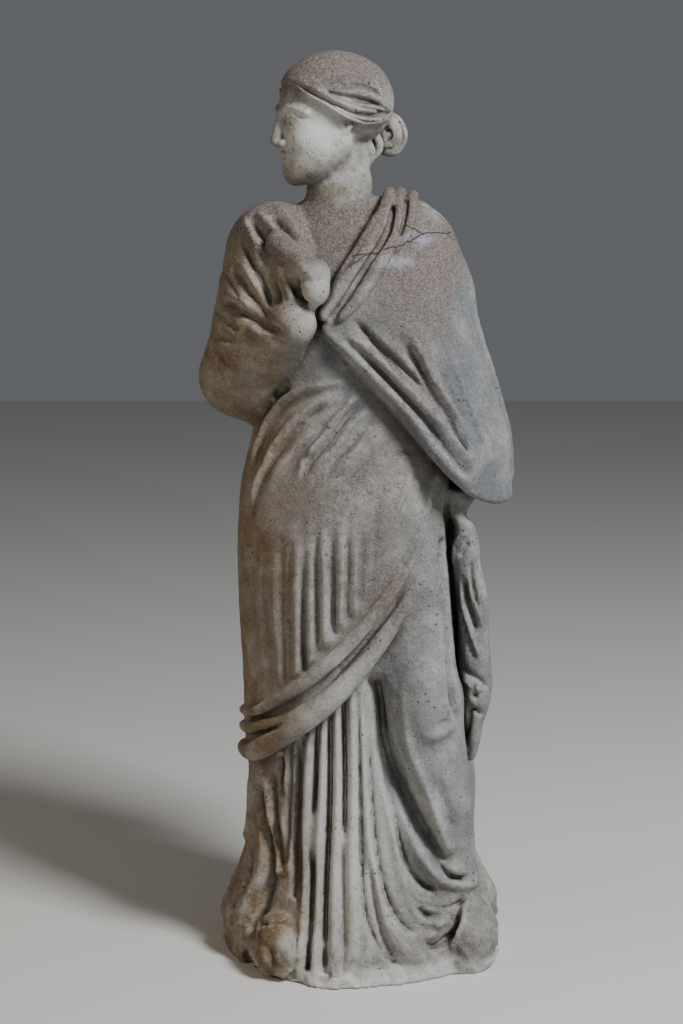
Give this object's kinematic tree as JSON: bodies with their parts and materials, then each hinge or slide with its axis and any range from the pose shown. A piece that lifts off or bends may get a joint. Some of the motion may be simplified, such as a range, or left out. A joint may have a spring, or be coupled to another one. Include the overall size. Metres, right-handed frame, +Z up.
{
  "type": "marble statue",
  "caption": "Classical marble statue of a standing draped woman with her head turned aside, carved in one with a low irregular base.",
  "frame": {"origin": "middle of the flat underside, in the plane that it stands on", "axes": "+Z up along the figure's height; the figure's body faces -Y and its left side is +X"},
  "size_m": [0.3502, 0.3038, 1.001],
  "materials": {
    "marble": "matt, weathered"
  },
  "bodies": {
    "root": {"statue": "marble"}
  },
  "joints": []
}
